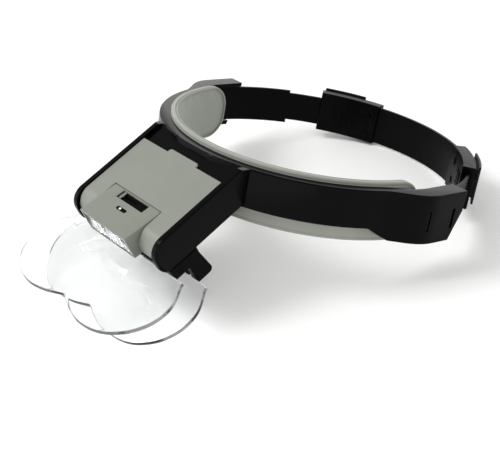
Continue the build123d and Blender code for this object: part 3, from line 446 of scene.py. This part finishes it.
def node_tree(name, inputs):
    """A geometry node tree with a Guide geometry, these inputs and one geometry output."""
    tree = bpy.data.node_groups.new(name, "GeometryNodeTree")
    tree.interface.new_socket("Guide", in_out="INPUT", socket_type="NodeSocketGeometry")
    for label, kind in inputs.items():
        tree.interface.new_socket(label, in_out="INPUT", socket_type="NodeSocket" + kind)
    tree.interface.new_socket("Geometry", in_out="OUTPUT", socket_type="NodeSocketGeometry")
    return tree, tree.nodes.new("NodeGroupInput"), tree.nodes.new("NodeGroupOutput")


tree, given, result = node_tree("bead_along_path", {"Radius": "Float", "Finish": "Material"})
path = add(tree, "GeometryNodeMeshToCurve", {"Mesh": given.outputs["Guide"]})
circle = {"Resolution": WELT_SIDES, "Radius": given.outputs["Radius"]}
section = add(tree, "GeometryNodeCurvePrimitiveCircle", circle)
bead = {"Curve": path.outputs["Curve"], "Profile Curve": section.outputs["Curve"]}
swept = add(tree, "GeometryNodeCurveToMesh", bead)
real = add(tree, "GeometryNodeRealizeInstances", {"Geometry": swept.outputs["Mesh"]})
painted = {"Geometry": real.outputs["Geometry"], "Material": given.outputs["Finish"]}
finished = add(tree, "GeometryNodeSetMaterial", painted)
tree.links.new(finished.outputs["Geometry"], result.inputs["Geometry"])

reach = pad_half_length - WELT_INSET
rise = pad_half_height - WELT_INSET
turn_radius = PAD_CORNER - WELT_INSET
outline = []
for quarter, (sign_x, sign_y) in enumerate(((1, 1), (-1, 1), (-1, -1), (1, -1))):
    centre_x, centre_y = sign_x * (reach - turn_radius), sign_y * (rise - turn_radius)
    for step in range(WELT_TURN_STEPS + 1):
        turn = pi / 2 * (quarter + step / WELT_TURN_STEPS)
        outline.append((centre_x + turn_radius * cos(turn), centre_y + turn_radius * sin(turn)))
    if sign_y * sign_x > 0:
        step_length = 2 * (reach - turn_radius) / WELT_RUN_STEPS
        steps = range(1, WELT_RUN_STEPS)
        outline += [(centre_x - sign_x * step_length * k, sign_y * rise) for k in steps]
welt_ring = pad_radius[0] + WELT_LIFT
places = [ring_point(welt_ring, x / pad_middle, pad_mid_height + y) for x, y in outline]
guide = bpy.data.meshes.new("welt_guide")
guide.from_pydata(places, [(k, (k + 1) % len(places)) for k in range(len(places))], [])
values = {"Radius": WELT_RADIUS, "Finish": foam_skin}
node_piece("pad_welt", guide, tree, values, "headband")

# The studs are plain nylon, a shade lighter than the pad, with a fine moulded grain.
grey_stud_nylon = moulded_plastic("grey_stud_nylon", ("#90938B", "#999C94"), 0.45, 0.8, 0.01)
finish_node("pad_studs", grey_stud_nylon)


# ---------------------------------------------------------------- visor housing
# The box that carries the lamp and lenses: two rounded cheeks, a deck against the band and a floor
# behind the battery bay, all one gloss black moulding. Four screws and a steel pin are let into it.
DRAWN_LINES = 0.25

eased("visor_housing", "headband", gloss_black_abs, 0.3)


def drawn_steel(name, tones, roughness):
    """Drawn steel wire or sheet: bright, with fine lines along X from the die."""
    made, tree, output = new_material(name)
    place = add(tree, "ShaderNodeTexCoord").outputs["Object"]
    stretched = add(tree, "ShaderNodeMapping", {"Vector": place, "Scale": (0.05, 1.0, 1.0)})
    drawn = {"Vector": stretched.outputs["Vector"], "Scale": 1 / (DRAWN_LINES * MM)}
    lines = add(tree, "ShaderNodeTexNoise", drawn).outputs["Fac"]
    two_tone = {"Factor": lines, "A": linear(tones[0]), "B": linear(tones[1])}
    mix = add(tree, "ShaderNodeMix", two_tone, data_type="RGBA")
    bump = {"Height": lines, "Strength": 0.3, "Distance": 0.01 * MM}
    metal = {
        "Base Color": mix.outputs["Result"],
        "Metallic": 1.0,
        "Roughness": roughness,
        "Normal": add(tree, "ShaderNodeBump", bump).outputs["Normal"],
    }
    surface = add(tree, "ShaderNodeBsdfPrincipled", metal)
    tree.links.new(surface.outputs["BSDF"], output.inputs["Surface"])
    return made


zinc_steel = drawn_steel("zinc_plated_steel_drawn", ("#A9AAAD", "#C4C5C7"), 0.34)
for node in ("housing_screws", "lamp_pin", "carrier_pin_left", "carrier_pin_right", "lever_pins"):
    finish_node(node, zinc_steel)


# ---------------------------------------------------------------- battery bay
# Two round cells lie across the box under the cover, between nickel plated contacts and springs.
nickel = drawn_steel("nickel_plated_spring_steel", ("#B9B4A8", "#D3CEC2"), 0.26)
finish_node("contact_springs", nickel)
finish_node("contact_plates", nickel)

# A printed film sleeve shrunk on the cell: dark blue in the middle, pale bands to the ends and a
# clear gloss over all.
SLEEVE_REACH = 23 * MM
SLEEVE_BANDS = ((0.0, "#243A55"), (0.62, "#B9BDC1"), (0.93, "#C9C9C6"))
cell_sleeve, tree, output = new_material("printed_film_sleeve")
place = add(tree, "ShaderNodeTexCoord").outputs["Object"]
across = add(tree, "ShaderNodeSeparateXYZ", {"Vector": place}).outputs["X"]
distance = add(tree, "ShaderNodeMath", {0: across}, operation="ABSOLUTE").outputs["Value"]
scaled = add(tree, "ShaderNodeMapRange", {"Value": distance, "From Max": SLEEVE_REACH})
bands = add(tree, "ShaderNodeValToRGB", {"Fac": scaled.outputs["Result"]})
bands.color_ramp.interpolation = "CONSTANT"
set_ramp(bands.color_ramp, SLEEVE_BANDS)
wrinkles = add(tree, "ShaderNodeTexNoise", {"Vector": place, "Scale": 1 / (4 * MM)})
film_bump = {"Height": wrinkles.outputs["Fac"], "Strength": 0.2, "Distance": 0.05 * MM}
film = {
    "Base Color": bands.outputs["Color"],
    "Roughness": 0.3,
    "Coat Weight": 0.6,
    "Coat Roughness": 0.08,
    "Normal": add(tree, "ShaderNodeBump", film_bump).outputs["Normal"],
}
surface = add(tree, "ShaderNodeBsdfPrincipled", film)
tree.links.new(surface.outputs["BSDF"], output.inputs["Surface"])
finish_node("battery_cell_rear", cell_sleeve)
finish_node("battery_cell_front", cell_sleeve)


# ---------------------------------------------------------------- battery cover
# A grey ABS lid that lies on the box and folds down over its front in two legs beside the lamp.
# A finger tab at its back edge lifts it. Its outside has the soft satin of a spark-eroded mould.
COVER_GREY = ("#7A7D74", "#82857C")
grey_satin_abs = moulded_plastic("grey_abs_satin_moulded", COVER_GREY, 0.40, 0.5, 0.01, 0.4)
eased("battery_cover", "cover", grey_satin_abs, 0.3)


# ---------------------------------------------------------------- lamp
# A tilting grey shell on a steel pin. Behind its clear front are two plated cups with round diodes.
# A green board lies under the switch, and a black base closes the lamp from below.
LAMP_GREY = ("#777A71", "#7E8178")
grey_lamp_abs = moulded_plastic("grey_abs_satin_lamp", LAMP_GREY, 0.38, 0.5, 0.01, 0.4)
eased("lamp_shell", "lamp", grey_lamp_abs, 0.25)
NYLON_BLACK = ("#020202", "#040405")
satin_black_nylon = moulded_plastic("satin_black_nylon", NYLON_BLACK, 0.34, 0.6, 0.01, 0.05)
finish_node("lamp_base", satin_black_nylon)

# Vacuum plated ABS: a mirror film over a slightly wavy moulding, duller where it has been touched.
plated_cup, tree, output = new_material("vacuum_plated_abs")
place = add(tree, "ShaderNodeTexCoord").outputs["Object"]
waves = add(tree, "ShaderNodeTexNoise", {"Vector": place, "Scale": 1 / (2.5 * MM)})
touched = {"Value": waves.outputs["Fac"], "To Min": 0.05, "To Max": 0.16}
dull = add(tree, "ShaderNodeMapRange", touched)
plating = {"Base Color": linear("#DADBDE"), "Metallic": 1.0, "Roughness": dull.outputs["Result"]}
wave_bump = {"Height": waves.outputs["Fac"], "Strength": 0.3, "Distance": 0.04 * MM}
plating["Normal"] = add(tree, "ShaderNodeBump", wave_bump).outputs["Normal"]
surface = add(tree, "ShaderNodeBsdfPrincipled", plating)
tree.links.new(surface.outputs["BSDF"], output.inputs["Surface"])
finish_node("led_reflector", plated_cup)


SMEAR_ROUGHNESS = 0.006


def clear_plastic(name, tint, ior, roughness, haze_size, shade="#E9E9E9", painted_pale=0.0):
    """A clear moulded plastic with faint finger smears, of a size in millimetres.

    It lets light through to its shadow, which has the colour shade. The last argument paints patches
    of it pale, a painted highlight.
    """
    made, tree, output = new_material(name)
    place = add(tree, "ShaderNodeTexCoord").outputs["Object"]
    smeared = {"Vector": place, "Scale": 1 / (haze_size * MM), "Detail": 4.0}
    smears = add(tree, "ShaderNodeTexNoise", smeared)
    haze = {"Value": smears.outputs["Fac"], "From Min": 0.45, "From Max": 0.8}
    haze.update({"To Min": roughness, "To Max": roughness + SMEAR_ROUGHNESS})
    glass = {
        "Base Color": linear(tint),
        "Roughness": add(tree, "ShaderNodeMapRange", haze).outputs["Result"],
        "Transmission Weight": 1.0,
        "IOR": ior,
    }
    surface = add(tree, "ShaderNodeBsdfPrincipled", glass)
    shadow = add(tree, "ShaderNodeLightPath").outputs["Is Shadow Ray"]
    through = add(tree, "ShaderNodeBsdfTransparent", {"Color": linear(shade)})
    body = surface.outputs["BSDF"]
    # Patches painted pale, white translucency over grey transparency: a painted highlight on the
    # edge.
    if painted_pale > 0:
        painted_pale_patches = {"Value": smears.outputs["Fac"], "From Min": 0.40, "From Max": 0.47}
        painted_pale_patches["To Max"] = painted_pale
        share = add(tree, "ShaderNodeMapRange", painted_pale_patches).outputs["Result"]
        clear = add(tree, "ShaderNodeBsdfTransparent", {"Color": linear("#F2F2F2")})
        painted_pale_translucent = add(tree, "ShaderNodeBsdfTranslucent", {"Color": linear("#FFFFFF")})
        both = {0: 0.4, 1: clear.outputs["BSDF"], 2: painted_pale_translucent.outputs["BSDF"]}
        light = add(tree, "ShaderNodeMixShader", both).outputs["Shader"]
        body = add(tree, "ShaderNodeMixShader", {0: share, 1: body, 2: light}).outputs["Shader"]
    blend = {0: shadow, 1: body, 2: through.outputs["BSDF"]}
    whole = add(tree, "ShaderNodeMixShader", blend)
    tree.links.new(whole.outputs["Shader"], output.inputs["Surface"])
    return made


# Polished clear acrylic: water clear, with a crisp reflection. Its flame polished edge is painted
# pale in patches, a painted highlight, so it shows as a pale line that breaks off here and there.
ACRYLIC_IOR = 1.49
clear_acrylic = clear_plastic(
    "clear_acrylic_polished", "#F9FAFA", ACRYLIC_IOR, 0.0, 14.0, shade="#E6E6E6"
)
acrylic_edge_painted_highlight = clear_plastic(
    "clear_acrylic_rim_painted_highlight",
    "#FAFCFC",
    ACRYLIC_IOR,
    0.0,
    16.0,
    shade="#9A9A9A",
    painted_pale=0.97,
)
# Cast epoxy: clear, faintly warm, and not quite smooth.
diode_epoxy = clear_plastic("diode_epoxy_cast", "#F4F5EE", 1.53, 0.02, 3.0)
finish_node("led_left", diode_epoxy)
finish_node("led_right", diode_epoxy)

# The lamp's front is one clear moulding with a shallow round lens standing out before each diode.
FRONT_LENS_RADIUS = 5.2 * MM
FRONT_LENS_CROWN = 1.5 * MM
FRONT_COLUMNS = 96
FRONT_ROWS = 28
LAMP_REST_TILT = radians(6.1)
box_tilt = asin(-Vector(joints["cover_lift"]["axis"]).y)
lamp_turn = Matrix.Rotation(box_tilt - LAMP_REST_TILT, 3, "X")
lamp_up, lamp_out = lamp_turn @ Vector((0, 0, 1)), lamp_turn @ Vector((0, -1, 0))
lamp_ways = (SIDEWAYS, lamp_out, lamp_up)
across, outwards, over = spans("lamp_window", lambda p: [p.dot(way) for way in lamp_ways])
led_x = sum(spans("led_left", lambda p: (p.x,))[0]) / 2
led_up = sum(spans("led_left", lambda p: (p.dot(lamp_up),))[0]) / 2
shape = bmesh.new()
front_grid = {}
for i in range(FRONT_COLUMNS + 1):
    x = across[0] + (across[1] - across[0]) * i / FRONT_COLUMNS
    for j in range(FRONT_ROWS + 1):
        up = over[0] + (over[1] - over[0]) * j / FRONT_ROWS
        from_diode = sqrt((abs(x) - abs(led_x)) ** 2 + (up - led_up) ** 2)
        near = min(from_diode / FRONT_LENS_RADIUS, 1.0)
        out = outwards[1] + FRONT_LENS_CROWN * sqrt(max(1 - near * near, 0))
        front_grid[i, j] = shape.verts.new(SIDEWAYS * x + lamp_out * out + lamp_up * up)
front_faces = []
for i in range(FRONT_COLUMNS):
    for j in range(FRONT_ROWS):
        corners = [(i, j), (i + 1, j), (i + 1, j + 1), (i, j + 1)]
        front_faces.append(shape.faces.new([front_grid[c] for c in corners]))
walls = bmesh.ops.extrude_face_region(shape, geom=front_faces)["geom"]
for vertex in [item for item in walls if isinstance(item, bmesh.types.BMVert)]:
    vertex.co += lamp_out * (outwards[0] - vertex.co.dot(lamp_out))
bmesh.ops.recalc_face_normals(shape, faces=shape.faces)
front_mesh = bpy.data.meshes.new("lamp_front_lens")
shape.to_mesh(front_mesh)
shape.free()
front_mesh.materials.append(clear_acrylic)
front_lens = new_piece("lamp_front_lens", front_mesh)
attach(front_lens, "lamp")
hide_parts("lamp_window")

# A printed circuit board: green lacquer over a grid of copper tracks that stand up slightly.
board_lacquer, tree, output = new_material("circuit_board_lacquered")
place = add(tree, "ShaderNodeTexCoord").outputs["Object"]
grid = {"Vector": place, "Scale": 1 / (4 * MM), "Mortar Size": 0.06}
grid.update({"Color1": linear("#0E3B1D"), "Color2": linear("#12471F"), "Mortar": linear("#3E7A43")})
tracks = add(tree, "ShaderNodeTexBrick", grid)
track_bump = {"Height": tracks.outputs["Fac"], "Strength": 0.4, "Distance": 0.04 * MM}
lacquer = {"Base Color": tracks.outputs["Color"], "Roughness": 0.35}
lacquer["Normal"] = add(tree, "ShaderNodeBump", track_bump).outputs["Normal"]
surface = add(tree, "ShaderNodeBsdfPrincipled", lacquer)
tree.links.new(surface.outputs["BSDF"], output.inputs["Surface"])
finish_node("circuit_board", board_lacquer)


# ---------------------------------------------------------------- switch and indicator
# A small ribbed slider runs in a black bezel let into the lamp's top. Beside it a black pill
# carries a plain white dot.
black_bezel_abs = moulded_plastic("black_abs_bezel", ("#010101", "#030303"), 0.3, 0.5, 0.005, 0.04)
for node in ("switch_bezel", "indicator_inlay"):
    finish_node(node, black_bezel_abs)
finish_node("switch_slider", grey_lamp_abs)
white_dot_abs = moulded_plastic("white_dot_abs", ("#E9E9E6", "#F2F2EF"), 0.35, 0.5, 0.01)
finish_node("indicator_dot", white_dot_abs)


# ---------------------------------------------------------------- lens carrier
# A black nylon block that hinges under the box and grips the tongues of both lens plates.
eased("lens_carrier", "lens_carrier", satin_black_nylon, 0.3)


# ---------------------------------------------------------------- lens plates
# Each plate is one clear acrylic casting in the shape of a pair of round lobes, each lobe a shallow
# lens, with polished, rounded edges and a flat tongue that slides into the carrier.
# Sizes here are in millimetres: x from the middle line, y from the shoulder's line.
LOBE_CENTRE = Vector((30.0, 26.0))
LOBE_TOP_X = 27.0
SHOULDER_X = 50.0
ROOT_OVERLAP = 0.6
CUSP_DEPTH = 7.0
FRONT_CROWN = 1.6
BACK_CROWN = 0.5
PLATE_RIM = 0.55
SEAM_REACH = 1.5 * PLATE_RIM
SEAM_WELD = 0.01
TONGUE_LENGTH = 10.0
TONGUE_BLOCK_WIDTH = 56.0
TONGUE_BLOCK_LENGTH = 9.3
TONGUE_BLOCK_Y = -5.35
RIM_STEPS = 5
RAY_STEPS = 22
OUTLINE_STEPS = 12
SHOULDER_STEPS = 20
SEAM_STEPS = 18


def lobe_outline(width, height, cusp):
    """A smooth curve from the shoulder, round the lobe, to the cusp between the lobes."""
    corners = [
        (SHOULDER_X, ROOT_OVERLAP),
        (0.965 * width, 0.24 * height),
        (width, 0.44 * height),
        (0.965 * width, 0.62 * height),
        (0.86 * width, 0.80 * height),
        (0.68 * width, 0.945 * height),
        (LOBE_TOP_X, height),
        (0.23 * width, 0.965 * height),
        (0.0, cusp),
    ]
    before = (2 * corners[0][0] - corners[1][0], 2 * corners[0][1] - corners[1][1])
    after = (2 * corners[-1][0] - corners[-2][0], 2 * corners[-1][1] - corners[-2][1])
    guide = [Vector(p) for p in [before, *corners, after]]
    points = []
    for p0, p1, p2, p3 in zip(guide, guide[1:], guide[2:], guide[3:]):
        for k in range(OUTLINE_STEPS):
            t = k / OUTLINE_STEPS
            bend = (2 * p0 - 5 * p1 + 4 * p2 - p3) * t * t + (3 * p1 - p0 - 3 * p2 + p3) * t**3
            points.append((2 * p1 + (p2 - p0) * t + bend) / 2)
    return points + [Vector(corners[-1])]


def plate_loop(width, height):
    """Half of the plate's outline, closed along the shoulder and the seam in the middle."""
    cusp = height - CUSP_DEPTH
    steps = range(SHOULDER_STEPS + 1)
    shoulder = [Vector((SHOULDER_X * k / SHOULDER_STEPS, -ROOT_OVERLAP)) for k in steps]
    shares = [k / SEAM_STEPS for k in range(1, SEAM_STEPS)]
    seam = [Vector((0.0, cusp * (1 - share) - ROOT_OVERLAP * share)) for share in shares]
    return shoulder + lobe_outline(width, height, cusp) + seam


def lens_plate(name, node, body, pull_joint):
    """A lens plate in the place of its CAD node, laid out along the way it pulls."""
    pull = Vector(joints[pull_joint]["axis"]).normalized()
    up = pull.cross(SIDEWAYS)
    across, along, lift = spans(node, lambda p: (p.dot(SIDEWAYS), p.dot(pull), p.dot(up)))
    thickness = (lift[1] - lift[0]) / MM - FRONT_CROWN
    half = thickness / 2
    shoulder_line = along[0] + TONGUE_LENGTH * MM
    middle = lift[0] + half * MM
    loop = plate_loop(across[1] / MM, (along[1] - shoulder_line) / MM)
    pairs = list(zip(range(len(loop)), [*range(1, len(loop)), 0]))
    shape = bmesh.new()

    def place(x, y, z):
        """A point of the plate, from its place across, along and through it."""
        return SIDEWAYS * x * MM + pull * (shoulder_line + y * MM) + up * (middle + z * MM)

    def ring(mirror, share, inset, z):
        """The outline less an inset, shrunk to a share of its size about the lobe's centre."""
        made = []
        for point in loop:
            arm = point - LOBE_CENTRE
            spot = LOBE_CENTRE + arm * (share * (arm.length - inset) / arm.length)
            made.append(shape.verts.new(place(mirror * spot.x, spot.y, z)))
        return made

    for mirror in (1, -1):
        face_edges = []
        for face_side, crown in ((1, FRONT_CROWN), (-1, BACK_CROWN)):
            rings = []
            for step in range(1, RAY_STEPS + 1):
                share = step / RAY_STEPS
                dome = crown * (1 - share * share) ** 1.5
                rings.append(ring(mirror, share, PLATE_RIM, face_side * (half + dome)))
            peak = place(mirror * LOBE_CENTRE.x, LOBE_CENTRE.y, face_side * (half + crown))
            tip = shape.verts.new(peak)
            for a, b in pairs:
                shape.faces.new((tip, rings[0][a], rings[0][b]))
                for near, far in zip(rings, rings[1:]):
                    shape.faces.new((near[a], far[a], far[b], near[b]))
            face_edges.append(rings[-1])
        rim = [face_edges[0]]
        for step in range(1, 2 * RIM_STEPS):
            turn = pi * step / (2 * RIM_STEPS)
            rim.append(ring(mirror, 1.0, PLATE_RIM * (1 - sin(turn)), half * cos(turn)))
        rim.append(face_edges[1])
        for near, far in zip(rim, rim[1:]):
            for a, b in pairs:
                on_seam = abs(loop[a].x) < 1e-6 and abs(loop[b].x) < 1e-6
                if not on_seam:
                    face = shape.faces.new((near[a], far[a], far[b], near[b]))
                    face.material_index = 1
    for vertex in shape.verts:
        if abs(vertex.co.x) < SEAM_REACH * MM:
            vertex.co.x = 0.0
    bmesh.ops.remove_doubles(shape, verts=shape.verts, dist=SEAM_WELD * MM)
    for vertex in bmesh.ops.create_cube(shape, size=1.0)["verts"]:
        x, y, z = vertex.co
        block_y = TONGUE_BLOCK_Y + y * TONGUE_BLOCK_LENGTH
        vertex.co = place(x * TONGUE_BLOCK_WIDTH, block_y, z * thickness)
    bmesh.ops.recalc_face_normals(shape, faces=shape.faces)
    mesh = bpy.data.meshes.new(name)
    shape.to_mesh(mesh)
    shape.free()
    for face in mesh.polygons:
        face.use_smooth = True
    mesh.materials.append(clear_acrylic)
    mesh.materials.append(acrylic_edge_painted_highlight)
    piece = new_piece(name, mesh)
    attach(piece, body)
    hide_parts(node)


lens_plate("front_lens", "lens_plate_front", "lens_front", "lens_front_pull")
lens_plate("rear_lens", "lens_plate_rear", "lens_rear", "lens_rear_pull")


# ---------------------------------------------------------------- strap, tails, buckles and levers
# Springy satin black nylon: two toothed tails snap into the arms and pass into the buckles, which
# are riveted to the rear strap. A rocking lever in each buckle bears on the teeth.
strap_nylon = moulded_plastic("satin_black_strap_nylon", NYLON_BLACK, 0.30, 1.2, 0.01, 0.05)
for node in ("tail_left", "tail_right"):
    eased(node, "headband", strap_nylon, 0.2)
for node in ("rear_strap", "buckle_left", "buckle_right"):
    eased(node, "rear_strap", strap_nylon, 0.2)
finish_node("strap_rivets", strap_nylon)

# Small raised bars on the inner face of each buckle give the fingers a hold on it.
BAR_SIZE = Vector((3.2, 0.7, 0.6)) * MM
BAR_PITCH = 2.4 * MM
BAR_COUNT = 5
BAR_INSET = 0.6 * MM
BAR_FROM_LEVER = radians(6.2)
bar_inputs = {"Size": "Vector", "Turn": "Vector", "Finish": "Material"}
tree, given, result = node_tree("bars_on_points", bar_inputs)
bar = add(tree, "GeometryNodeMeshCube", {"Size": given.outputs["Size"]})
spread = {
    "Points": given.outputs["Guide"],
    "Instance": bar.outputs["Mesh"],
    "Rotation": given.outputs["Turn"],
}
spread_bars = add(tree, "GeometryNodeInstanceOnPoints", spread)
real = add(tree, "GeometryNodeRealizeInstances", {"Geometry": spread_bars.outputs["Instances"]})
painted = {"Geometry": real.outputs["Geometry"], "Material": given.outputs["Finish"]}
finished = add(tree, "GeometryNodeSetMaterial", painted)
tree.links.new(finished.outputs["Geometry"], result.inputs["Geometry"])
for hand, turn_from_lever in (("left", BAR_FROM_LEVER), ("right", -BAR_FROM_LEVER)):
    buckle_radius, _, buckle_height = spans("buckle_" + hand, ring_place)
    pivot = ring_place(Vector(joints["lever_" + hand + "_press"]["pos_m"]))
    bearing = pivot[1] + turn_from_lever
    lowest = sum(buckle_height) / 2 - (BAR_COUNT - 1) / 2 * BAR_PITCH
    heights = [lowest + k * BAR_PITCH for k in range(BAR_COUNT)]
    places = [ring_point(buckle_radius[0] + BAR_INSET, bearing, height) for height in heights]
    guide = bpy.data.meshes.new("bar_guide")
    guide.from_pydata(places, [], [])
    outward = (ring_point(1, bearing, 0) - ring_point(0, bearing, 0)).normalized()
    turned = Matrix((outward.cross(RING_AXIS), outward, RING_AXIS)).transposed().to_euler()
    values = {"Size": BAR_SIZE, "Turn": Vector(turned), "Finish": strap_nylon}
    node_piece("finger_bars_" + hand, guide, tree, values, "rear_strap")
lever_nylon = moulded_plastic("black_lever_nylon", ("#070708", "#0B0B0C"), 0.40, 0.8, 0.02, 0.15)
for hand in ("left", "right"):
    eased("release_lever_" + hand, "lever_" + hand, lever_nylon, 0.2)
